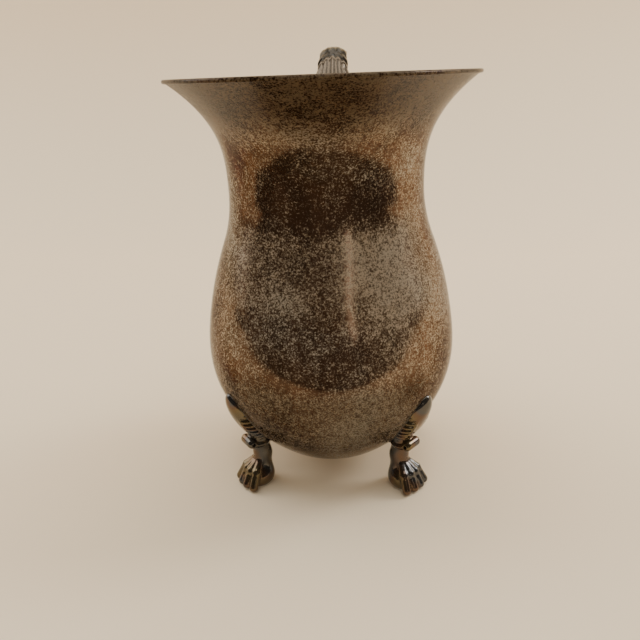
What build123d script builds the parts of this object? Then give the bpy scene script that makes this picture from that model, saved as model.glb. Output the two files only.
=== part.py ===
from build123d import *

import os
from math import cos, exp, hypot, radians, sin

# Footed baluster water pitcher in silver plate: a spun body with a trumpet mouth drawn out to a wide spout,
# a rim wire, a hollow scroll handle under an acanthus leaf, and four cast paw feet.
#
# Frame: millimetres, +Z up, the table at Z = 0 under the soles, the body's axis on Z, the spout towards -Y
# and the handle towards +Y.

# ---------------------------------------------------------------- driving dimensions
RIM_Z = 222.6  # height of the sheet's edge at the mouth, which lies in one level plane
BASE_Z = 13.0  # underside of the body, clear of the table
REACH = 111.0  # from the axis to the spout's lip, and to the handle's outermost point
WALL = 1.0  # spun sheet
SOLDER = 0.3  # thickness of a soldered seam

# ---------------------------------------------------------------- the body's outline
BASE_R = 24.0  # flat disc under the body
# Radius and height of the turned outline, from the disc's edge to where the spout begins
BELLY_OUTLINE = [
    (BASE_R, BASE_Z),
    (40.6, 21.5),
    (51.0, 31.6),
    (60.7, 45.0),
    (67.5, 60.0),
    (70.5, 78.0),
    (67.6, 105.0),
]
NECK_Z = 168.0
NECK_R = 52.4
WAIST_BEND = 0.0066  # how fast the radius grows below the neck, per mm squared
FLARE = 26.6  # growth from the neck to the rim, at the sides
FLARE_POWER = 2.75

# ---------------------------------------------------------------- the mouth
SPOUT_START_Z = 140.0
WIRE_R = 1.0  # half-round wire along the top of the edge
WIRE_IN = 0.5  # how far its middle stands inside the sheet's outer skin
SPOUT = REACH - WIRE_R + WIRE_IN - NECK_R - FLARE  # how far the lip is drawn forward
SPOUT_HALF_ANGLE = 40.0
BACK_DRAW = 5.0  # how far the mouth is drawn in at the handle
BACK_HALF_ANGLE = 60.0
BELLY_LEVELS = 9
MOUTH_LEVELS = 6
MOUTH_CROWDING = 1.4  # how much closer together the mouth's levels stand towards the rim
ROUND_POINTS = 20

# ---------------------------------------------------------------- the handle
# Centre line, as distance from the axis and height: root, crest, grip, lower joint and tail volute
HANDLE_LINE = [
    (43.0, 176.5),
    (59.5, 198.0),
    (72.5, 213.0),
    (82.0, 227.0),
    (92.5, 233.6),
    (102.3, 228.0),
    (105.8, 214.0),
    (105.0, 190.0),
    (100.0, 164.0),
    (91.0, 139.0),
    (79.6, 118.0),
    (71.6, 102.0),
    (73.6, 87.5),
    (82.0, 80.0),
    (91.0, 84.0),
    (89.5, 92.5),
]
# Share of the centre line's length, then width across and depth in the handle's own plane
HANDLE_SECTIONS = [
    (0.0, 14.0, 11.0),
    (0.17, 15.0, 11.5),
    (0.30, 13.0, 10.5),
    (0.45, 11.5, 9.6),
    (0.66, 10.5, 9.0),
    (0.80, 11.0, 9.6),
    (0.90, 9.0, 6.0),
    (1.0, 7.5, 4.4),
]
HANDLE_WALL = 1.5
HOLLOW_SPAN = (0.17, 0.72)  # the hollow part of the handle, as shares of its length
HOLLOW_STEPS = 22
LEAF_SPAN = (0.155, 0.42)  # the acanthus leaf, from below the rim over the crest to its tip
LEAF_WIDTHS = [24.0, 22.5, 19.0, 17.0, 16.0, 14.0, 10.0, 4.0]
LEAF_HALF_DEPTH = 2.6
LEAF_SINK = 1.1  # how far the leaf's middle line lies inside the handle's skin
LEAF_THIN_WIDTH = 12.0  # where the leaf is narrower than this, it gets thinner too
HANDLE_SEAMS = {
    "handle_upper_solder": (150.0, 230.0),  # the heights between which each seam lies
    "handle_lower_solder": (60.0, 150.0),
}

# ---------------------------------------------------------------- the feet
FOOT_ANGLES = {
    "foot_front_left": 218.0,
    "foot_front_right": 322.0,
    "foot_rear_left": 142.0,
    "foot_rear_right": 38.0,
}
KNEE_Z = 44.0  # middle of the leaf-shaped knee that is soldered to the body
KNEE_OUT = 58.4
KNEE_LEAN = 31.0  # its long axis from the vertical, as the body's side leans there
KNEE_HALF = (8.2, 10.2, 20.5)  # thickness, width and length
COLLAR_OUT = 51.8
COLLAR_Z = 28.4
COLLAR_HALF = (7.6, 7.2, 2.6)
# Height, distance of the section's centre from the axis, half length and half width
LEG_SECTIONS = [
    (0.0, 53.6, 9.0, 8.2),
    (4.0, 53.8, 9.0, 8.4),
    (9.0, 52.8, 7.6, 7.8),
    (14.0, 51.4, 6.0, 6.4),
    (20.0, 50.6, 5.2, 5.4),
    (26.0, 51.4, 5.4, 5.6),
    (32.0, 53.4, 6.6, 6.4),
]
TOE_SPREADS = (-1.0, -0.34, 0.34, 1.0)
TOE_R = 2.9
TOE_START_OUT = 50.0
TOE_START_SIDE = 3.6
TOE_START_Z = 10.4
TOE_TIP_OUT = 66.0
TOE_TIP_SIDE = 8.4
TOE_TIP_Z = 1.6
TOE_SETBACK = 1.6  # how far the outer toes stand behind the middle ones
# Knuckle, narrowing and tip of a toe, as shares of its radius and of its length
TOE_OUTLINE = [(1.0, 0.36), (0.86, 0.62), (1.0, 0.82)]


def round_radius(z):
    """Outer radius of the turned body above the belly, before the spout is drawn."""
    above = z - NECK_Z
    if above < 0:
        return NECK_R + WAIST_BEND * above**2
    return NECK_R + FLARE * (above / (RIM_Z - NECK_Z)) ** FLARE_POWER


def mouth_radius(z, degrees):
    """Outer radius at a height, at an angle from the spout's direction."""
    drawn = max(0.0, (z - SPOUT_START_Z) / (RIM_Z - SPOUT_START_Z)) ** 2
    turn = abs((degrees + 180) % 360 - 180)
    forward = SPOUT * exp(-((turn / SPOUT_HALF_ANGLE) ** 2))
    inward = BACK_DRAW * exp(-(((180 - turn) / BACK_HALF_ANGLE) ** 2))
    return round_radius(z) + drawn * (forward - inward)


def grown_radius(z, degrees, grow):
    """The same radius with the surface moved outwards along its normal."""
    step = 0.05
    slope = (mouth_radius(z + step, degrees) - mouth_radius(z - step, degrees)) / (2 * step)
    return mouth_radius(z, degrees) + grow * hypot(1, slope)


def mouth_place(z, degrees, grow=0.0):
    """Horizontal position on the mouth, with the spout at -Y."""
    radius = grown_radius(z, degrees, grow)
    turn = radians(degrees - 90)
    return (radius * cos(turn), radius * sin(turn))


def belly_places(grow):
    """Radius and height of points down the belly, moved outwards along the outline's normal."""
    outline = BELLY_OUTLINE + [(round_radius(SPOUT_START_Z), SPOUT_START_Z)]
    lean = 2 * WAIST_BEND * (SPOUT_START_Z - NECK_Z)
    curve = Edge.make_spline([Vector(r, 0, z) for r, z in outline], tangents=[(1, 0, 0), (lean, 0, 1)])
    places = []
    for step in range(BELLY_LEVELS):
        place = curve @ (step / BELLY_LEVELS)
        along = curve % (step / BELLY_LEVELS)
        places.append((place.X + grow * along.Z, place.Z - grow * along.X))
    return places


def vessel(grow):
    """The body as a full solid, with its surface moved outwards by grow."""
    turns = [360 * n / ROUND_POINTS for n in range(ROUND_POINTS)]
    levels = []
    for radius, z in belly_places(grow):
        levels.append((z, [(radius * sin(radians(turn)), -radius * cos(radians(turn))) for turn in turns]))
    for step in range(MOUTH_LEVELS + 1):
        share = 1 - (1 - step / MOUTH_LEVELS) ** MOUTH_CROWDING
        z = SPOUT_START_Z + share * (RIM_Z - SPOUT_START_Z)
        levels.append((z, [mouth_place(z, turn, grow) for turn in turns]))
    with BuildPart() as form:
        for z, places in levels:
            with BuildSketch(Plane.XY.offset(z)):
                with BuildLine():
                    Spline(*places, periodic=True)
                make_face()
        loft()
    return form.part


def save(piece, name):
    piece.label = name
    export_step(piece, f"parts/{name}.step")


os.makedirs("parts", exist_ok=True)

# ---------------------------------------------------------------- body
outer_form = vessel(0)
soldered_form = vessel(SOLDER)

with BuildPart() as body_shell:
    add(outer_form)
    add(vessel(-WALL), mode=Mode.SUBTRACT)
save(body_shell.part, "body_shell")


edge_places = []
for n in range(ROUND_POINTS):
    place = Vector(*mouth_place(RIM_Z, 360 * n / ROUND_POINTS))
    edge_places.append(place * (1 - WIRE_IN / place.length) + Vector(0, 0, RIM_Z))

with BuildPart() as rim_wire:
    with BuildLine() as edge_line:
        Spline(*edge_places, periodic=True)
    with BuildSketch(Plane(origin=edge_line.line @ 0, x_dir=(0, 0, 1), z_dir=edge_line.line % 0)):
        Circle(WIRE_R)
        Rectangle(WIRE_R, 2 * WIRE_R, align=(Align.MAX, Align.CENTER), mode=Mode.SUBTRACT)
    sweep(path=edge_line.line)
save(rim_wire.part, "rim_wire")

# ---------------------------------------------------------------- handle
with BuildLine(Plane.YZ) as handle_line:
    Spline(*HANDLE_LINE)
centre_line = handle_line.line


def across(share):
    """The plane square to the handle's centre line, with its X across the handle."""
    return Plane(origin=centre_line @ share, x_dir=(1, 0, 0), z_dir=centre_line % share)


def handle_size(share):
    """Width and depth of the handle at a share of its length."""
    for (a, width_a, depth_a), (b, width_b, depth_b) in zip(HANDLE_SECTIONS, HANDLE_SECTIONS[1:]):
        if share <= b:
            t = (share - a) / (b - a)
            return width_a + t * (width_b - width_a), depth_a + t * (depth_b - depth_a)
    return HANDLE_SECTIONS[-1][1:]


with BuildPart() as handle_form:
    for share, width, depth in HANDLE_SECTIONS:
        with BuildSketch(across(share)):
            Ellipse(width / 2, depth / 2)
    sweep(path=centre_line, multisection=True)

with BuildPart() as handle_hollow:
    for step in range(HOLLOW_STEPS + 1):
        share = HOLLOW_SPAN[0] + step / HOLLOW_STEPS * (HOLLOW_SPAN[1] - HOLLOW_SPAN[0])
        width, depth = handle_size(share)
        with BuildSketch(across(share)):
            Ellipse(width / 2 - HANDLE_WALL, depth / 2 - HANDLE_WALL)
    loft()

with BuildPart() as handle_casting:
    add(handle_form.part)
    add(handle_hollow.part, mode=Mode.SUBTRACT)
    add(soldered_form, mode=Mode.SUBTRACT)
    add(rim_wire.part, mode=Mode.SUBTRACT)

for name, side in {"handle_left_half": Keep.BOTTOM, "handle_right_half": Keep.TOP}.items():
    with BuildPart() as half:
        add(handle_casting.part)
        split(bisect_by=Plane.YZ, keep=side)
    save(half.part, name)

with BuildPart() as leaf_form:
    for step, width in enumerate(LEAF_WIDTHS):
        share = LEAF_SPAN[0] + step / (len(LEAF_WIDTHS) - 1) * (LEAF_SPAN[1] - LEAF_SPAN[0])
        lift = handle_size(share)[1] / 2 - LEAF_SINK
        with BuildSketch(across(share)):
            with Locations((0, -lift)):
                Ellipse(width / 2, LEAF_HALF_DEPTH * min(1, width / LEAF_THIN_WIDTH))
    loft()
    add(handle_form.part, mode=Mode.SUBTRACT)
    add(soldered_form, mode=Mode.SUBTRACT)
    add(rim_wire.part, mode=Mode.SUBTRACT)

with BuildPart() as handle_leaf:
    add(leaf_form.part.solids().sort_by(SortBy.VOLUME)[-1])
save(handle_leaf.part, "handle_leaf")

with BuildPart() as solder_skin:
    add(soldered_form)
    add(outer_form, mode=Mode.SUBTRACT)

for name, (low, high) in HANDLE_SEAMS.items():
    with BuildPart() as seam:
        add(handle_form.part)
        add(solder_skin.part, mode=Mode.INTERSECT)
        add(rim_wire.part, mode=Mode.SUBTRACT)
        with Locations((0, 0, low)):
            slab_align = (Align.CENTER, Align.CENTER, Align.MIN)
            Box(3 * REACH, 3 * REACH, high - low, align=slab_align, mode=Mode.INTERSECT)
    save(seam.part, name)

# ---------------------------------------------------------------- feet
with BuildPart() as unit_ball:
    Sphere(1)


def ellipsoid(half_sizes, centre, lean=0.0):
    """An ellipsoid standing on its third half size, leaning outwards at its top."""
    stretched = scale(unit_ball.part, by=half_sizes)
    return Pos(*centre) * Rot(0, lean, 0) * stretched


def toe(start, tip):
    """A toe swelling at its knuckle and again at its rounded tip."""
    length = (tip - start).length
    with BuildPart() as form:
        with BuildSketch(Plane.XZ):
            with BuildLine():
                swellings = [(TOE_R * radius, length * height) for radius, height in TOE_OUTLINE]
                Spline((0, 0), *swellings, (0, length), tangents=[(1, 0), (-1, 0)])
                Line((0, length), (0, 0))
            make_face()
        revolve(axis=Axis.Z)
    return Plane(origin=start, z_dir=tip - start) * form.part


knee = ellipsoid(KNEE_HALF, (KNEE_OUT, 0, KNEE_Z), KNEE_LEAN)
collar = ellipsoid(COLLAR_HALF, (COLLAR_OUT, 0, COLLAR_Z))
toes = []
for spread in TOE_SPREADS:
    start = Vector(TOE_START_OUT, TOE_START_SIDE * spread, TOE_START_Z)
    tip = Vector(TOE_TIP_OUT - TOE_SETBACK * spread**2, TOE_TIP_SIDE * spread, TOE_TIP_Z)
    toes.append(toe(start, tip))

with BuildPart() as foot_form:
    for z, out, half_length, half_width in LEG_SECTIONS:
        with BuildSketch(Plane.XY.offset(z)):
            with Locations((out, 0)):
                Ellipse(half_length, half_width)
    loft()
    add(knee)
    add(collar)
    add(toes)

for name, turn in FOOT_ANGLES.items():
    with BuildPart() as foot:
        add(foot_form.part, rotation=(0, 0, turn))
        add(soldered_form, mode=Mode.SUBTRACT)
        split(bisect_by=Plane.XY, keep=Keep.TOP)
    save(foot.part, name)

with BuildPart() as feet_solder:
    for turn in FOOT_ANGLES.values():
        add(foot_form.part, rotation=(0, 0, turn))
    add(solder_skin.part, mode=Mode.INTERSECT)
save(feet_solder.part, "feet_solder")
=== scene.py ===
from math import cos, pi, radians, sin

import bmesh
import bpy
import numpy as np
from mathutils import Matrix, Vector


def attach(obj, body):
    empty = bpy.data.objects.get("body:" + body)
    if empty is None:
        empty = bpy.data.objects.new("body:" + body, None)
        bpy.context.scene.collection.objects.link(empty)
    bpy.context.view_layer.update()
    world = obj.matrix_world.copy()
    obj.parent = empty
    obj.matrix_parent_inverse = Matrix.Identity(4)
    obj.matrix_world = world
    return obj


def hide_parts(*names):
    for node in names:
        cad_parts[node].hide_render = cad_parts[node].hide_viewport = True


# Looks for the footed water pitcher: tarnished silver plate over a spun body, with cast handle and paw feet.
# Shapes are worked out in millimetres in the CAD frame and turned into metres as each mesh is made.

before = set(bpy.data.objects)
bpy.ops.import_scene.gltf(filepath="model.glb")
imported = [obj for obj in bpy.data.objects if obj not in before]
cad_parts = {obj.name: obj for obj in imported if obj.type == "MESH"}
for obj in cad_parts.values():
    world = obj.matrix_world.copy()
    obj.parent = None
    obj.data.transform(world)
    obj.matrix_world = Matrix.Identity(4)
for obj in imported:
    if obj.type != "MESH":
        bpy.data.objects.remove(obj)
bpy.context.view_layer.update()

# ---------------------------------------------------------------- sizes shared with the CAD part
RIM_Z = 222.6
BASE_Z = 13.0
REACH = 111.0
WALL = 1.0
BASE_R = 24.0
BELLY_OUTLINE = [
    (BASE_R, BASE_Z),
    (40.6, 21.5),
    (51.0, 31.6),
    (60.7, 45.0),
    (67.5, 60.0),
    (70.5, 78.0),
    (67.6, 105.0),
]
NECK_Z = 168.0
NECK_R = 52.4
WAIST_BEND = 0.0066
FLARE = 26.6
FLARE_POWER = 2.75
SPOUT_START_Z = 140.0
WIRE_R = 1.0
WIRE_IN = 0.5
SPOUT = REACH - WIRE_R + WIRE_IN - NECK_R - FLARE
SPOUT_HALF_ANGLE = 40.0
BACK_DRAW = 5.0
BACK_HALF_ANGLE = 60.0
HANDLE_LINE = [
    (43.0, 176.5),
    (59.5, 198.0),
    (72.5, 213.0),
    (82.0, 227.0),
    (92.5, 233.6),
    (102.3, 228.0),
    (105.8, 214.0),
    (105.0, 190.0),
    (100.0, 164.0),
    (91.0, 139.0),
    (79.6, 118.0),
    (71.6, 102.0),
    (73.6, 87.5),
    (82.0, 80.0),
    (91.0, 84.0),
    (89.5, 92.5),
]
HANDLE_SHARES = [0.0, 0.17, 0.30, 0.45, 0.66, 0.80, 0.90, 1.0]
HANDLE_WIDTHS = [14.0, 15.0, 13.0, 11.5, 10.5, 11.0, 9.0, 7.5]
HANDLE_DEPTHS = [11.0, 11.5, 10.5, 9.6, 9.0, 9.6, 6.0, 4.4]
LEAF_SPAN = (0.155, 0.42)
LEAF_WIDTHS = [24.0, 22.5, 19.0, 17.0, 16.0, 14.0, 10.0, 4.0]
FOOT_TURNS = {
    "foot_front_left": 218.0,
    "foot_front_right": 322.0,
    "foot_rear_left": 142.0,
    "foot_rear_right": 38.0,
}

# ---------------------------------------------------------------- camera
CAMERA_TURN = 4.5  # degrees to the right of the spout's direction
CAMERA_OUT = 350.0
CAMERA_Z = 223.0
CAMERA_PITCH = 20.9
CAMERA_AIM_LEFT = 1.0
CAMERA_ROLL = -2.1


# ---------------------------------------------------------------- shape helpers
def smooth_line(points, count, start=None, end=None):
    """Points along a smooth curve through the given points, clamped to end directions where given."""
    p = np.array(points, float)
    h = np.linalg.norm(np.diff(p, axis=0), axis=1)
    t = np.concatenate([[0], np.cumsum(h)])
    n = len(p)
    left = np.zeros((n, n))
    right = np.zeros_like(p)
    for i in range(1, n - 1):
        left[i, i - 1 : i + 2] = h[i], 2 * (h[i - 1] + h[i]), h[i - 1]
        right[i] = 3 * (h[i] * (p[i] - p[i - 1]) / h[i - 1] + h[i - 1] * (p[i + 1] - p[i]) / h[i])
    if start is None:
        left[0, :2] = 2, 1
        right[0] = 3 * (p[1] - p[0]) / h[0]
    else:
        left[0, 0] = 1
        right[0] = np.array(start) / np.linalg.norm(start)
    if end is None:
        left[-1, -2:] = 1, 2
        right[-1] = 3 * (p[-1] - p[-2]) / h[-1]
    else:
        left[-1, -1] = 1
        right[-1] = np.array(end) / np.linalg.norm(end)
    slopes = np.linalg.solve(left, right)
    s = np.linspace(0, t[-1], count)
    i = np.clip(np.searchsorted(t, s, side="right") - 1, 0, n - 2)
    u = ((s - t[i]) / h[i])[:, None]
    step = h[i][:, None]
    return (
        p[i] * (2 * u**3 - 3 * u**2 + 1)
        + slopes[i] * step * (u**3 - 2 * u**2 + u)
        + p[i + 1] * (3 * u**2 - 2 * u**3)
        + slopes[i + 1] * step * (u**3 - u**2)
    )


def round_radius(z):
    above = z - NECK_Z
    flare = FLARE * (np.maximum(above, 0) / (RIM_Z - NECK_Z)) ** FLARE_POWER
    waist = WAIST_BEND * np.minimum(above, 0) ** 2
    return NECK_R + flare + waist


def mouth_radius(z, degrees):
    """Outer radius above the belly at a height and an angle from the spout's direction."""
    drawn = np.maximum(0, (z - SPOUT_START_Z) / (RIM_Z - SPOUT_START_Z)) ** 2
    turn = np.abs((degrees + 180) % 360 - 180)
    forward = SPOUT * np.exp(-((turn / SPOUT_HALF_ANGLE) ** 2))
    inward = BACK_DRAW * np.exp(-(((180 - turn) / BACK_HALF_ANGLE) ** 2))
    return round_radius(z) + drawn * (forward - inward)


def grown_radius(z, degrees, grow):
    slope = (mouth_radius(z + 0.05, degrees) - mouth_radius(z - 0.05, degrees)) / 0.1
    return mouth_radius(z, degrees) + grow * np.hypot(1, slope)


def body_radius(z, degrees):
    """Outer radius of the whole body, belly included."""
    belly = np.interp(z, BELLY_CURVE[:, 1], BELLY_CURVE[:, 0])
    return np.where(z < SPOUT_START_Z, belly, mouth_radius(z, degrees))


BELLY_LEAN = 2 * WAIST_BEND * (SPOUT_START_Z - NECK_Z)
BELLY_CURVE = smooth_line(
    BELLY_OUTLINE + [(float(round_radius(SPOUT_START_Z)), SPOUT_START_Z)], 121, start=(1, 0), end=(BELLY_LEAN, 1)
)


def keep_outside(points, depth):
    """Points with those inside the body moved out to just under its outer surface."""
    x, y, z = points.T
    r = np.maximum(np.hypot(x, y), 1e-6)
    limit = body_radius(z, np.degrees(np.arctan2(y, x)) + 90) - depth
    grow = np.where(z < RIM_Z, np.maximum(1, limit / r), 1)
    return np.stack([x * grow, y * grow, z], 1)


def ring_faces(rows, cols, first=0, close_rows=False):
    """Quads between successive closed rings of points."""
    r = np.arange(rows if close_rows else rows - 1)[:, None]
    c = np.arange(cols)[None, :]
    below = (r + 1) % rows
    right = (c + 1) % cols
    quads = np.stack([r * cols + c, r * cols + right, below * cols + right, below * cols + c], -1)
    return (quads.reshape(-1, 4) + first).tolist()


def make_mesh(name, points, faces, material, nodes, marks=None):
    """A smooth-shaded piece from points in millimetres, standing for the given CAD nodes."""
    mesh = bpy.data.meshes.new(name)
    mesh.from_pydata((np.asarray(points) * 0.001).tolist(), [], faces)
    mesh.validate()
    shape = bmesh.new()
    shape.from_mesh(mesh)
    bmesh.ops.recalc_face_normals(shape, faces=shape.faces)
    shape.to_mesh(mesh)
    shape.free()
    mesh.polygons.foreach_set("use_smooth", [True] * len(mesh.polygons))
    if marks is not None:
        mark = mesh.attributes.new("recess", "FLOAT", "POINT")
        mark.data.foreach_set("value", np.asarray(marks, np.float32))
    mesh.update()
    piece = bpy.data.objects.new(name, mesh)
    bpy.context.scene.collection.objects.link(piece)
    mesh.materials.append(material)
    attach(piece, "root")
    if nodes:
        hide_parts(*nodes)
    return piece


# ---------------------------------------------------------------- material helpers
def new_material(name):
    material = bpy.data.materials.new(name)
    material.use_nodes = True
    return material, material.node_tree.nodes, material.node_tree.links


def ramp(nodes, links, source, stops):
    """A colour ramp over a value, from (place, colour) stops."""
    node = nodes.new("ShaderNodeValToRGB")
    elements = node.color_ramp.elements
    while len(elements) < len(stops):
        elements.new(0.5)
    for element, (place, colour) in zip(elements, stops):
        element.position = place
        element.color = (*colour, 1) if len(colour) == 3 else (colour[0],) * 3 + (1,)
    links.new(source, node.inputs["Fac"])
    return node.outputs["Color"]


def noise(nodes, links, scale, detail=3.0, rough=0.6, stretch=(1, 1, 1), warp=0.0):
    """Noise in the piece's own coordinates, in cycles per metre."""
    place = nodes.new("ShaderNodeTexCoord")
    mapping = nodes.new("ShaderNodeMapping")
    mapping.inputs["Scale"].default_value = stretch
    links.new(place.outputs["Object"], mapping.inputs["Vector"])
    node = nodes.new("ShaderNodeTexNoise")
    node.inputs["Scale"].default_value = scale
    node.inputs["Detail"].default_value = detail
    node.inputs["Roughness"].default_value = rough
    node.inputs["Distortion"].default_value = warp
    links.new(mapping.outputs["Vector"], node.inputs["Vector"])
    return node.outputs["Fac"]


def mix(nodes, links, share, a, b, kind="MIX"):
    """A mix of two colours, each a socket or a colour; share is a socket or a number."""
    node = nodes.new("ShaderNodeMix")
    node.data_type = "RGBA"
    node.blend_type = kind
    for place, value in ((0, share), (6, a), (7, b)):
        socket = node.inputs[place]
        if isinstance(value, bpy.types.NodeSocket):
            links.new(value, socket)
        elif place == 0:
            socket.default_value = value
        else:
            socket.default_value = (*value, 1)
    return node.outputs[2]


def fade(nodes, links, axis, start, end):
    """A share that goes from 0 to 1 between two places along one of the piece's own axes, in metres."""
    place = nodes.new("ShaderNodeTexCoord")
    split = nodes.new("ShaderNodeSeparateXYZ")
    links.new(place.outputs["Object"], split.inputs[0])
    node = nodes.new("ShaderNodeMapRange")
    node.interpolation_type = "SMOOTHSTEP"
    node.inputs["From Min"].default_value = start
    node.inputs["From Max"].default_value = end
    links.new(split.outputs[axis], node.inputs["Value"])
    return node.outputs["Result"]


def maths(nodes, links, kind, *values):
    """A sum or product of sockets and numbers."""
    node = nodes.new("ShaderNodeMath")
    node.operation = kind
    for place, value in enumerate(values):
        if isinstance(value, bpy.types.NodeSocket):
            links.new(value, node.inputs[place])
        else:
            node.inputs[place].default_value = value
    return node.outputs[0]


def patch(nodes, links, *spans):
    """A soft-edged patch of the surface: each span is an axis and the places between which it fades in."""
    share = 1.0
    for span in spans:
        share = maths(nodes, links, "MULTIPLY", share, fade(nodes, links, *span))
    return share


def bump(nodes, links, height, distance, strength=1.0, onto=None):
    node = nodes.new("ShaderNodeBump")
    node.inputs["Distance"].default_value = distance
    node.inputs["Strength"].default_value = strength
    links.new(height, node.inputs["Height"])
    if onto is not None:
        links.new(onto, node.inputs["Normal"])
    return node.outputs["Normal"]


# ---------------------------------------------------------------- materials
def tarnished_plate():
    """Silver plate gone brown, with fine tan grains of corrosion over a skin that still reflects."""
    material, nodes, links = new_material("tarnished_plate")
    shader = nodes["Principled BSDF"]
    grain = noise(nodes, links, 1100, detail=4.0, rough=0.75)
    blotch = noise(nodes, links, 330, detail=3.0, rough=0.65)
    zone = noise(nodes, links, 19, detail=4.0, rough=0.6, warp=0.5)
    streak = noise(nodes, links, 60, detail=4.0, rough=0.65, stretch=(1, 1, 0.09))
    hue = noise(nodes, links, 14, detail=3.0, rough=0.55, warp=0.8)

    dark = ramp(nodes, links, hue, [
        (0.32, (0.062, 0.039, 0.023)),
        (0.46, (0.098, 0.048, 0.024)),
        (0.58, (0.080, 0.045, 0.031)),
        (0.70, (0.064, 0.048, 0.033)),
    ])
    warm = ramp(nodes, links, streak, [(0.38, (0.044, 0.026, 0.016)), (0.62, (0.138, 0.076, 0.046))])
    ground = mix(nodes, links, 0.5, dark, warm)
    tan = ramp(nodes, links, zone, [
        (0.32, (0.295, 0.240, 0.172)),
        (0.50, (0.365, 0.292, 0.212)),
        (0.66, (0.340, 0.292, 0.228)),
    ])
    # The tan grains are tarnish, and their density also paints reflection: more grains on one side of the belly paint a
    # brighter part of the room mirrored there, and fewer on the neck and low on the front paint the dark room mirrored
    # there
    dense_grains_bright_reflection = patch(
        nodes, links, ("X", -0.004, 0.020), ("X", 0.052, 0.038), ("Z", 0.098, 0.112), ("Z", 0.166, 0.150)
    )
    sparse_grains_dark_reflection_neck = patch(nodes, links, ("X", 0.050, 0.026), ("Y", -0.024, -0.040), ("Z", 0.146, 0.158), ("Z", 0.200, 0.190))
    sparse_grains_dark_reflection_low = patch(nodes, links, ("X", 0.036, 0.012), ("Y", -0.040, -0.056), ("Z", 0.070, 0.080), ("Z", 0.122, 0.108))
    depth = maths(nodes, links, "MULTIPLY_ADD", zone, 0.34, grain)
    depth = maths(nodes, links, "MULTIPLY_ADD", blotch, 0.30, depth)
    # Painted reflection: these patches add grains to lighten one side and take grains away to darken the neck and the
    # lower front
    for place, change in ((dense_grains_bright_reflection, 0.055), (sparse_grains_dark_reflection_neck, -0.10), (sparse_grains_dark_reflection_low, -0.09)):
        depth = maths(nodes, links, "MULTIPLY_ADD", place, change, depth)
    cover = ramp(nodes, links, depth, [(0.75, (0.0,)), (0.90, (1.0,))])
    # Painted shade: the underside of the flare, towards the spout, and the bottom of the belly at the front are
    # darkened where they mirror dark surroundings and shadow
    flare_shade = patch(nodes, links, ("Z", 0.188, 0.212), ("Y", -0.005, -0.045))
    low = patch(nodes, links, ("Z", 0.086, 0.070), ("Y", -0.030, -0.056))
    colour = mix(nodes, links, cover, ground, tan)
    # Painted shade: these tones darken the colour under the flare and low on the front of the belly
    flare_shade_tone = mix(nodes, links, flare_shade, (1.0, 1.0, 1.0), (0.32, 0.28, 0.23))
    low_shade_tone = mix(nodes, links, low, (1.0, 1.0, 1.0), (0.45, 0.45, 0.44))
    shade_tones = mix(nodes, links, 1.0, flare_shade_tone, low_shade_tone, "MULTIPLY")
    links.new(mix(nodes, links, 1.0, colour, shade_tones, "MULTIPLY"), shader.inputs["Base Color"])
    metal = ramp(nodes, links, depth, [(0.74, (0.72,)), (0.92, (0.34,))])
    # The painted shade under the flare also makes it less metallic and rougher there
    links.new(maths(nodes, links, "MULTIPLY_ADD", flare_shade, -0.20, metal), shader.inputs["Metallic"])
    rough = ramp(nodes, links, depth, [(0.74, (0.06,)), (0.92, (0.30,))])
    links.new(maths(nodes, links, "MULTIPLY_ADD", flare_shade, 0.16, rough), shader.inputs["Roughness"])
    shader.inputs["Specular IOR Level"].default_value = 0.15
    shader.inputs["Specular Tint"].default_value = (0.30, 0.27, 0.24, 1)
    shader.inputs["Coat Weight"].default_value = 0.05
    shader.inputs["Coat Roughness"].default_value = 0.05
    links.new(bump(nodes, links, depth, 0.00010, 0.28), shader.inputs["Normal"])
    return material


def cast_plate(name, film_stops, hollow, metallic, smooth, rough):
    """Cast and plated brass, darkened in the hollows and faintly coloured by thin tarnish."""
    material, nodes, links = new_material(name)
    shader = nodes["Principled BSDF"]
    hue = noise(nodes, links, 48, detail=1.5, rough=0.45, warp=0.4)
    fine = noise(nodes, links, 1100, detail=3.0, rough=0.65)
    film = ramp(nodes, links, hue, film_stops)
    recess = nodes.new("ShaderNodeAttribute")
    recess.attribute_name = "recess"
    depth = ramp(nodes, links, recess.outputs["Fac"], [(0.12, (0.0,)), (0.80, (1.0,))])
    links.new(mix(nodes, links, depth, film, hollow), shader.inputs["Base Color"])
    shader.inputs["Metallic"].default_value = metallic
    links.new(ramp(nodes, links, fine, [(0.35, (smooth,)), (0.7, (rough,))]), shader.inputs["Roughness"])
    links.new(bump(nodes, links, fine, 0.00006, 0.25), shader.inputs["Normal"])
    return material


def solder_metal():
    material, nodes, links = new_material("solder")
    shader = nodes["Principled BSDF"]
    fine = noise(nodes, links, 700, detail=3.0)
    links.new(ramp(nodes, links, fine, [(0.3, (0.07, 0.06, 0.05)), (0.7, (0.2, 0.18, 0.16))]), shader.inputs["Base Color"])
    shader.inputs["Metallic"].default_value = 0.9
    shader.inputs["Roughness"].default_value = 0.4
    links.new(bump(nodes, links, fine, 0.0001, 0.4), shader.inputs["Normal"])
    return material


PLATE = tarnished_plate()
CAST = cast_plate("cast_plate", [
    (0.28, (0.120, 0.106, 0.078)),
    (0.42, (0.150, 0.116, 0.066)),
    (0.50, (0.140, 0.090, 0.062)),
    (0.58, (0.088, 0.090, 0.094)),
    (0.72, (0.124, 0.106, 0.080)),
], (0.040, 0.030, 0.020), 0.84, 0.11, 0.21)
LEAF = cast_plate("leaf_plate", [
    (0.36, (0.200, 0.170, 0.112)),
    (0.52, (0.235, 0.184, 0.112)),
    (0.66, (0.175, 0.132, 0.090)),
], (0.040, 0.031, 0.020), 0.66, 0.18, 0.32)
SOLDER = solder_metal()

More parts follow.
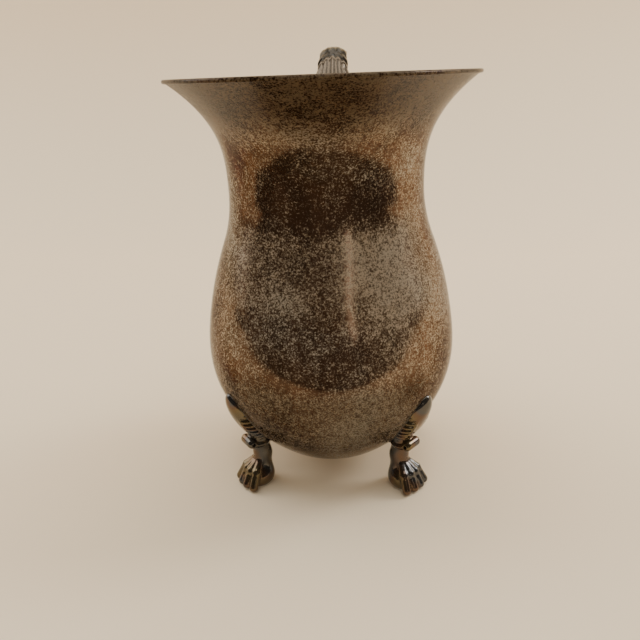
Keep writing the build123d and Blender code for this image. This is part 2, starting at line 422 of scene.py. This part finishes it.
# ---------------------------------------------------------------- body
AROUND = 240
turns = np.arange(AROUND) * 360.0 / AROUND
levels = SPOUT_START_Z + (1 - (1 - np.linspace(0, 1, 80)) ** 1.4) * (RIM_Z - SPOUT_START_Z)
along = np.gradient(BELLY_CURVE, axis=0)
along /= np.linalg.norm(along, axis=1)[:, None]
belly_inside = BELLY_CURVE + WALL * np.stack([-along[:, 1], along[:, 0]], 1)

rings = []
for share in (0.25, 0.5, 0.75, 0.92):
    rings.append((np.full(AROUND, BASE_R * share), BASE_Z))
for radius, z in BELLY_CURVE[:-1]:
    rings.append((np.full(AROUND, radius), z))
for z in levels:
    rings.append((mouth_radius(z, turns), z))
for z in levels[::-1]:
    rings.append((grown_radius(z, turns, -WALL), z))
for radius, z in belly_inside[-2::-1]:
    rings.append((np.full(AROUND, radius), z))
for share in (0.92, 0.75, 0.5, 0.25):
    rings.append((np.full(AROUND, BASE_R * share), BASE_Z + WALL))

angle = np.radians(turns - 90)
points = []
for radius, z in rings:
    # The sheet was worked by hand, so it is not perfectly round
    lift = min(1.0, max(0.0, (z - 22) / 40)) * min(1.0, max(0.0, (RIM_Z - z) / 25))
    dents = 0.16 * np.sin(3 * angle + z / 17) + 0.10 * np.sin(5 * angle - z / 11 + 1.3) + 0.07 * np.sin(9 * angle + z / 8)
    r = radius + lift * dents
    points.append(np.stack([r * np.cos(angle), r * np.sin(angle), np.full(AROUND, z)], 1))
points = np.concatenate(points)
faces = ring_faces(len(rings), AROUND)
first_pole = len(points)
points = np.concatenate([points, [(0, 0, BASE_Z), (0, 0, BASE_Z + WALL)]])
last_ring = (len(rings) - 1) * AROUND
for c in range(AROUND):
    right = (c + 1) % AROUND
    faces.append([first_pole, right, c])
    faces.append([first_pole + 1, last_ring + c, last_ring + right])
make_mesh("body", points, faces, PLATE, ["body_shell"])

# ---------------------------------------------------------------- rim wire
wire = []
for turn in np.linspace(0, 360, 24, endpoint=False):
    r = mouth_radius(RIM_Z, turns) - WIRE_IN + WIRE_R * cos(radians(turn))
    z = RIM_Z + WIRE_R * sin(radians(turn))
    wire.append(np.stack([r * np.cos(angle), r * np.sin(angle), np.full(AROUND, z)], 1))
wire_faces = [face[::-1] for face in ring_faces(24, AROUND, close_rows=True)]
make_mesh("rim_bead", np.concatenate(wire), wire_faces, PLATE, ["rim_wire"])

# ---------------------------------------------------------------- handle
STATIONS = 300
centre = smooth_line(HANDLE_LINE, STATIONS)
tangent = np.gradient(centre, axis=0)
tangent /= np.linalg.norm(tangent, axis=1)[:, None]
upward = np.stack([-tangent[:, 1], tangent[:, 0]], 1)  # the side of the handle away from the body
share = np.concatenate([[0], np.cumsum(np.linalg.norm(np.diff(centre, axis=0), axis=1))])
share /= share[-1]
half_width = np.interp(share, HANDLE_SHARES, HANDLE_WIDTHS) / 2
half_depth = np.interp(share, HANDLE_SHARES, HANDLE_DEPTHS) / 2


def handle_section(i, theta):
    """Points round the handle at a station: theta 0 is to the right, a quarter turn is the outer side."""
    reed = 0.35 * np.exp(-(((np.abs(np.sin(theta)) - 0.62) / 0.12) ** 2))
    spine = 0.45 * np.exp(-(((theta - pi / 2) / 0.22) ** 2))
    r = 1 - (reed - spine) / half_depth[i]
    x = half_width[i] * np.cos(theta) * r
    out = half_depth[i] * np.sin(theta) * r
    y = centre[i, 0] + out * upward[i, 0]
    z = centre[i, 1] + out * upward[i, 1]
    return np.stack([x, y, z], 1), reed


for name, start, side in (("handle_left", pi / 2, "handle_left_half"), ("handle_right", -pi / 2, "handle_right_half")):
    theta = start + np.linspace(0, pi, 33)
    ring_points = []
    marks = []
    for i in range(STATIONS):
        section, reed = handle_section(i, theta)
        ring_points.append(section)
        marks.append(np.clip(reed * 2.2, 0, 1))
    cols = len(theta)
    half_points = keep_outside(np.concatenate(ring_points), WALL / 2)
    half_faces = ring_faces(STATIONS, cols)
    half_faces.append(list(range(cols)))
    half_faces.append(list(range((STATIONS - 1) * cols, STATIONS * cols))[::-1])
    make_mesh(name, half_points, half_faces, CAST, [side], np.concatenate(marks))

# ---------------------------------------------------------------- acanthus leaf over the crest
LEAF_ROWS = 200
LEAF_COLS = 81
leaf_along = np.linspace(0, 1, LEAF_ROWS)
leaf_across = np.linspace(-1, 1, LEAF_COLS)
leaf_share = LEAF_SPAN[0] + leaf_along * (LEAF_SPAN[1] - LEAF_SPAN[0])
leaf_centre = np.stack([np.interp(leaf_share, share, centre[:, k]) for k in (0, 1)], 1)
leaf_up = np.stack([np.interp(leaf_share, share, upward[:, k]) for k in (0, 1)], 1)
leaf_depth = np.interp(leaf_share, share, half_depth)
leaf_half = np.interp(leaf_along, np.linspace(0, 1, len(LEAF_WIDTHS)), LEAF_WIDTHS) / 2
LEAF_BORDER = 0.335  # share of the leaf where its ribbed face ends in a scalloped edge, below the crest
leaf_top = []
leaf_under = []
leaf_marks = []
for i in range(LEAF_ROWS):
    t = leaf_along[i]
    lobes = 1 + 0.06 * abs(sin(pi * 7.5 * t)) - 0.04
    x = leaf_half[i] * lobes * leaf_across
    fold = np.sqrt(np.clip(1 - (0.86 * leaf_across) ** 2, 0, 1))
    edge = t - LEAF_BORDER - 0.022 * np.abs(np.cos(2.5 * pi * leaf_across)) + 0.05 * leaf_across**2
    face = 1 / (1 + np.exp(edge / 0.006))
    ribs = np.cos(8.5 * pi * leaf_across) * (1 - np.abs(leaf_across) ** 4)
    bands = np.cos(2 * pi * (11.0 * edge - 0.5 * np.abs(leaf_across)))
    veins = np.cos(2 * pi * (9.0 * t - 1.3 * np.abs(leaf_across))) * np.clip(2.2 * np.abs(leaf_across), 0, 1)
    back = min(1.0, max(0.0, (t - 0.58) / 0.08))
    relief = face * 0.17 * ribs + (1 - face) * ((1 - back) * 0.30 * bands + back * 0.26 * veins)
    lip = 0.55 * np.exp(-((edge + 0.010) / 0.013) ** 2)
    groove = 0.85 * np.exp(-((edge - 0.022) / 0.014) ** 2)
    height = (leaf_depth[i] + 1.1) * fold - 0.7 * (1 - fold) + relief + lip - groove
    hollow = 0.42 - 1.7 * relief - lip + 1.2 * groove
    leaf_marks.append(np.clip(hollow * face + (1 - face) * (hollow + 0.5), 0, 1))
    for rows, drop in ((leaf_top, 0.0), (leaf_under, 1.3)):
        out = height - drop
        y = leaf_centre[i, 0] + out * leaf_up[i, 0]
        z = leaf_centre[i, 1] + out * leaf_up[i, 1]
        rows.append(np.stack([x, y, z], 1))
leaf_rings = [np.concatenate([leaf_top[i], leaf_under[i][::-1]]) for i in range(LEAF_ROWS)]
leaf_cols = 2 * LEAF_COLS
leaf_faces = [face[::-1] for face in ring_faces(LEAF_ROWS, leaf_cols)]
for first, order in ((0, 1), ((LEAF_ROWS - 1) * leaf_cols, -1)):
    for c in range(LEAF_COLS - 1):
        quad = [first + c, first + c + 1, first + leaf_cols - 2 - c, first + leaf_cols - 1 - c]
        leaf_faces.append(quad[::order])
leaf_mark = np.concatenate([np.concatenate([m, np.ones(LEAF_COLS)]) for m in leaf_marks])
make_mesh("handle_leaf_look", keep_outside(np.concatenate(leaf_rings), WALL / 2), leaf_faces, LEAF, ["handle_leaf"], leaf_mark)


# ---------------------------------------------------------------- feet, sculpted as blended round forms
def blend(a, b, k):
    h = np.clip(0.5 + 0.5 * (b - a) / k, 0, 1)
    return b * (1 - h) + a * h - k * h * (1 - h)


def lump(p, place, radii):
    """Distance to an ellipsoid, near enough for blending."""
    q = (p - np.array(place)) / np.array(radii)
    near = np.linalg.norm(q, axis=-1)
    return near * (near - 1) / np.maximum(np.linalg.norm(q / np.array(radii), axis=-1), 1e-6)


def rod(p, a, b, ra, rb):
    """Distance to a round-ended rod whose radius changes along it."""
    a = np.array(a, float)
    d = np.array(b, float) - a
    t = np.clip(((p - a) @ d) / (d @ d), 0, 1)
    return np.linalg.norm(p - a - t[..., None] * d, axis=-1) - (ra + (rb - ra) * t)


def skin(field, low, step):
    """The zero surface of a field on a regular grid: one point per crossed cell, one quad per crossed edge."""
    inside = field < 0
    cells = np.array(field.shape) - 1
    total = np.zeros((cells.prod(), 3))
    count = np.zeros(cells.prod())
    crossings = []
    for axis in range(3):
        lower = [slice(None)] * 3
        upper = [slice(None)] * 3
        lower[axis] = slice(0, -1)
        upper[axis] = slice(1, None)
        a, b = field[tuple(lower)], field[tuple(upper)]
        edges = np.argwhere(inside[tuple(lower)] != inside[tuple(upper)])
        va, vb = a[tuple(edges.T)], b[tuple(edges.T)]
        spot = edges.astype(float)
        spot[:, axis] += va / (va - vb)
        u, v = [k for k in range(3) if k != axis]
        corners = []
        for du, dv in ((0, 0), (-1, 0), (-1, -1), (0, -1)):
            cell = edges.copy()
            cell[:, u] += du
            cell[:, v] += dv
            kept = np.all((cell >= 0) & (cell < cells), axis=1)
            flat = np.ravel_multi_index(np.clip(cell, 0, cells - 1).T, cells)
            np.add.at(total, flat[kept], spot[kept])
            np.add.at(count, flat[kept], 1)
            corners.append(flat)
        crossings.append((np.stack(corners, 1), (va < 0) ^ (axis == 1)))
    used = np.flatnonzero(count)
    index = np.full(len(count), -1)
    index[used] = np.arange(len(used))
    points = np.array(low) + step * total[used] / count[used][:, None]
    faces = []
    for quads, forward in crossings:
        quads = index[quads]
        faces.append(np.where(forward[:, None], quads, quads[:, ::-1]))
    return points, np.concatenate(faces)


def neighbour_mean(points, faces):
    total = np.zeros_like(points)
    count = np.zeros(len(points))
    for k in range(4):
        for other in (faces[:, (k + 1) % 4], faces[:, (k + 3) % 4]):
            np.add.at(total, faces[:, k], points[other])
            np.add.at(count, faces[:, k], 1)
    return total / np.maximum(count, 1)[:, None]


def foot_field(p):
    """Distance to a foot whose toes point along +X, in the foot's own frame."""
    x, y, z = p[..., 0], p[..., 1], p[..., 2]
    leg = rod(p, (50.4, 0, 6), (50.2, 0, 19), 5.2, 5.1)
    leg = blend(leg, rod(p, (50.2, 0, 19), (52.4, 0, 31), 5.1, 5.7), 2.0)
    paw = blend(lump(p, (55.0, 0, 5.2), (8.2, 8.3, 6.8)), lump(p, (50.8, 0, 5.0), (5.6, 6.4, 6.0)), 4.0)
    form = blend(leg, paw, 3.5)
    # Four long toes side by side: each bends once at the knuckle and ends in a rounded tip
    for side in (-1.0, -1 / 3, 1 / 3, 1.0):
        back = 1.5 * side**2
        root = (53.2, 2.4 * side, 16.0)
        knuckle = (59.6 - back, 5.9 * side, 10.2)
        tip = (63.2 - back, 8.0 * side, 2.9)
        toe = blend(rod(p, root, knuckle, 1.8, 2.6), rod(p, knuckle, tip, 2.45, 2.55), 0.9)
        form = blend(form, toe, 1.0)
    # The knee: a long petal lying on the body, smooth down its middle
    lean = radians(31)
    run = (x - 59.0) * sin(lean) + (z - 44) * cos(lean)
    proud = (x - 59.0) * cos(lean) - (z - 44) * sin(lean)
    local = np.stack([proud, y, run], -1)
    petal = lump(local, (-1.2, 0, 0.5), (7.0, 9.4, 19.6))
    # Each flank of its lower part is ribbed across, behind a raised border
    edge = np.abs(y) - 3.4 - 0.10 * np.maximum(run + 12, 0)
    lower = np.clip((9 - run) / 4, 0, 1)
    ribs = 0.72 * np.cos(2 * pi * (run + 0.45 * np.abs(y)) / 3.6) - 0.2
    knee = petal - lower * (np.clip(edge / 0.8, 0, 1) * ribs + 0.40 * np.exp(-((edge / 0.6) ** 2)))
    scroll = rod(p, (58.4, -3.6, 28.8), (58.4, 3.6, 28.8), 2.9, 2.9)
    eyes = np.hypot(x - 58.4, z - 28.8) - 1.1
    scroll = np.maximum(scroll, -np.maximum(eyes, 4.6 - np.abs(y)))
    collar = lump(p, (52.6, 0, 27.6), (7.0, 6.9, 2.4))
    knee = blend(knee, blend(scroll, collar, 1.2), 0.9)
    form = blend(form, knee, 0.9)
    inward = body_radius(z, 135.0 + 0 * z) - np.hypot(x, y) - 0.35
    return np.maximum(np.maximum(form, inward), -z)


STEP = 0.36
low = np.array([39.0, -14.0, -1.0])
high = np.array([75.0, 14.0, 67.0])
axes = [np.arange(low[k], high[k], STEP) for k in range(3)]
grid = np.stack(np.meshgrid(*axes, indexing="ij"), -1)
foot_values = foot_field(grid)
foot_points, foot_quads = skin(foot_values, low, STEP)
for _ in range(2):
    moved = foot_points + 0.5 * (neighbour_mean(foot_points, foot_quads) - foot_points)
    moved[:, 2] = np.where(foot_points[:, 2] < 0.3, foot_points[:, 2], moved[:, 2])
    foot_points = moved
blurred = foot_points
for _ in range(14):
    blurred = neighbour_mean(blurred, foot_quads)
outwards = np.zeros_like(foot_points)
a, b, c, d = [foot_points[foot_quads[:, k]] for k in range(4)]
face_normal = np.cross(c - a, d - b)
for k in range(4):
    np.add.at(outwards, foot_quads[:, k], face_normal)
outwards /= np.maximum(np.linalg.norm(outwards, axis=1), 1e-9)[:, None]
foot_recess = np.clip(np.einsum("ij,ij->i", blurred - foot_points, outwards) / 0.5, 0, 1)
foot_points[:, 2] = np.maximum(foot_points[:, 2], 0)

for node, turn in FOOT_TURNS.items():
    c, s = cos(radians(turn)), sin(radians(turn))
    turned = np.stack(
        [c * foot_points[:, 0] - s * foot_points[:, 1], s * foot_points[:, 0] + c * foot_points[:, 1], foot_points[:, 2]], 1
    )
    make_mesh(node + "_look", turned, foot_quads.tolist(), CAST, [node], foot_recess)

for node in ("feet_solder", "handle_upper_solder", "handle_lower_solder"):
    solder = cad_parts[node]
    solder.data.materials.clear()
    solder.data.materials.append(SOLDER)

# ---------------------------------------------------------------- stage: pale floor and backdrop
def plain_material(name, colour, rough):
    material, nodes, links = new_material(name)
    nodes["Principled BSDF"].inputs["Base Color"].default_value = (*colour, 1)
    nodes["Principled BSDF"].inputs["Roughness"].default_value = rough
    return material


sweep_line = [(-2.0, 0.0), (0.45, 0.0)]
for n in range(1, 17):
    turn = radians(90 * n / 16)
    sweep_line.append((0.45 + 0.35 * sin(turn), 0.35 - 0.35 * cos(turn)))
sweep_line.append((0.80, 1.4))
floor_points = [(x, y, z) for y, z in sweep_line for x in (-4.0, 4.0)]
floor_faces = [[2 * i, 2 * i + 1, 2 * i + 3, 2 * i + 2] for i in range(len(sweep_line) - 1)]
floor_mesh = bpy.data.meshes.new("floor")
floor_mesh.from_pydata(floor_points, [], floor_faces)
floor_mesh.polygons.foreach_set("use_smooth", [True] * len(floor_faces))
floor_mesh.materials.append(plain_material("cloth", (0.90, 0.748, 0.540), 0.9))
floor = bpy.data.objects.new("floor", floor_mesh)
bpy.context.scene.collection.objects.link(floor)


def area_light(name, place, aim, size, power, colour=(1, 1, 1)):
    light = bpy.data.lights.new(name, "AREA")
    light.shape = "RECTANGLE"
    light.size, light.size_y = size
    light.energy = power
    light.color = colour
    lamp = bpy.data.objects.new(name, light)
    bpy.context.scene.collection.objects.link(lamp)
    lamp.location = place
    direction = Vector(aim) - Vector(place)
    lamp.rotation_euler = direction.to_track_quat("-Z", "Y").to_euler()


area_light("window_right", (1.2, 0.45, 0.9), (0, 0, 0.1), (0.5, 0.6), 10.5, (1.0, 0.98, 0.94))
area_light("window_left", (-1.2, 0.45, 0.9), (0, 0, 0.1), (1.1, 1.2), 10.5, (1.0, 0.97, 0.92))
area_light("ceiling", (0.1, -0.1, 1.6), (0, 0, 0), (1.5, 1.3), 15, (1.0, 0.98, 0.94))


def reflection_only(name, points, faces, material):
    """A studio card that only the metal sees: nothing else is lit, shaded or hidden by it."""
    mesh = bpy.data.meshes.new(name)
    mesh.from_pydata(points, [], faces)
    mesh.materials.append(material)
    card = bpy.data.objects.new(name, mesh)
    bpy.context.scene.collection.objects.link(card)
    card.visible_camera = False
    card.visible_diffuse = False
    card.visible_shadow = False


# The dark room in front of the pitcher: it begins at the front edge of the cloth, and the metal mirrors it
ROOM_LEFT = -82
ROOM_RIGHT = 87
CLOTH_FRONT = 0.20
ROOM_FAR = 1.5
SHADE_Z = 0.10
SHADE_FAR = 0.30
DARK = plain_material("dark_cloth", (0.012, 0.010, 0.009), 1.0)


def sector(name, near, profile):
    """A dark card in front of the pitcher: a profile of (distance, height) carried round part of a circle."""
    points = []
    turns_round = np.linspace(ROOM_LEFT, ROOM_RIGHT, 60)
    for turn in turns_round:
        start = near(abs(turn))
        a = radians(turn - 90)
        points += [(r * cos(a), r * sin(a), z) for r, z in [(start, profile[0][1])] + profile]
    cols = len(profile) + 1
    faces = [
        [i * cols + k, i * cols + k + 1, (i + 1) * cols + k + 1, (i + 1) * cols + k]
        for i in range(len(turns_round) - 1)
        for k in range(cols - 1)
    ]
    reflection_only(name, points, faces, DARK)


sector("dark_room", lambda turn: min(ROOM_FAR - 0.05, CLOTH_FRONT / cos(radians(turn))),
       [(ROOM_FAR, 0.002), (ROOM_FAR, 0.65), (ROOM_FAR, 1.3)])
# The neck looks down past this shade, which is above everything the lower belly mirrors
sector("dark_shade", lambda turn: 0.075 + 0.10 * (turn / 82) ** 3.5, [(SHADE_FAR, SHADE_Z)])

# A narrow gap of daylight in that room, which the belly draws out into a thin upright streak
glow, glow_nodes, glow_links = new_material("daylight_gap")
glow_nodes["Principled BSDF"].inputs["Emission Color"].default_value = (1.0, 0.93, 0.82, 1)
glow_nodes["Principled BSDF"].inputs["Emission Strength"].default_value = 2.2
gap_turn = radians(-90 + 24)
gap_points = []
for spread, z in ((-0.022, 0.10), (0.022, 0.10), (0.022, 0.42), (-0.022, 0.42)):
    gap_points.append((0.6 * cos(gap_turn) - spread * sin(gap_turn), 0.6 * sin(gap_turn) + spread * cos(gap_turn), z))
reflection_only("daylight_gap", gap_points, [[0, 1, 2, 3]], glow)

world = bpy.data.worlds.new("world")
bpy.context.scene.world = world
world.use_nodes = True
world.node_tree.nodes["Background"].inputs["Color"].default_value = (0.60, 0.565, 0.505, 1)
world.node_tree.nodes["Background"].inputs["Strength"].default_value = 1.0

# ---------------------------------------------------------------- camera
camera_data = bpy.data.cameras.new("camera")
camera_data.lens = 36
camera_data.sensor_width = 36
camera = bpy.data.objects.new("camera", camera_data)
bpy.context.scene.collection.objects.link(camera)
bpy.context.scene.camera = camera
around = radians(CAMERA_TURN)
camera.location = (CAMERA_OUT / 1000 * sin(around), -CAMERA_OUT / 1000 * cos(around), CAMERA_Z / 1000)
heading = Matrix.Rotation(radians(CAMERA_TURN + CAMERA_AIM_LEFT), 4, "Z")
pitch = Matrix.Rotation(radians(90 - CAMERA_PITCH), 4, "X")
roll = Matrix.Rotation(radians(CAMERA_ROLL), 4, "Z")
camera.rotation_euler = (heading @ pitch @ roll).to_euler()
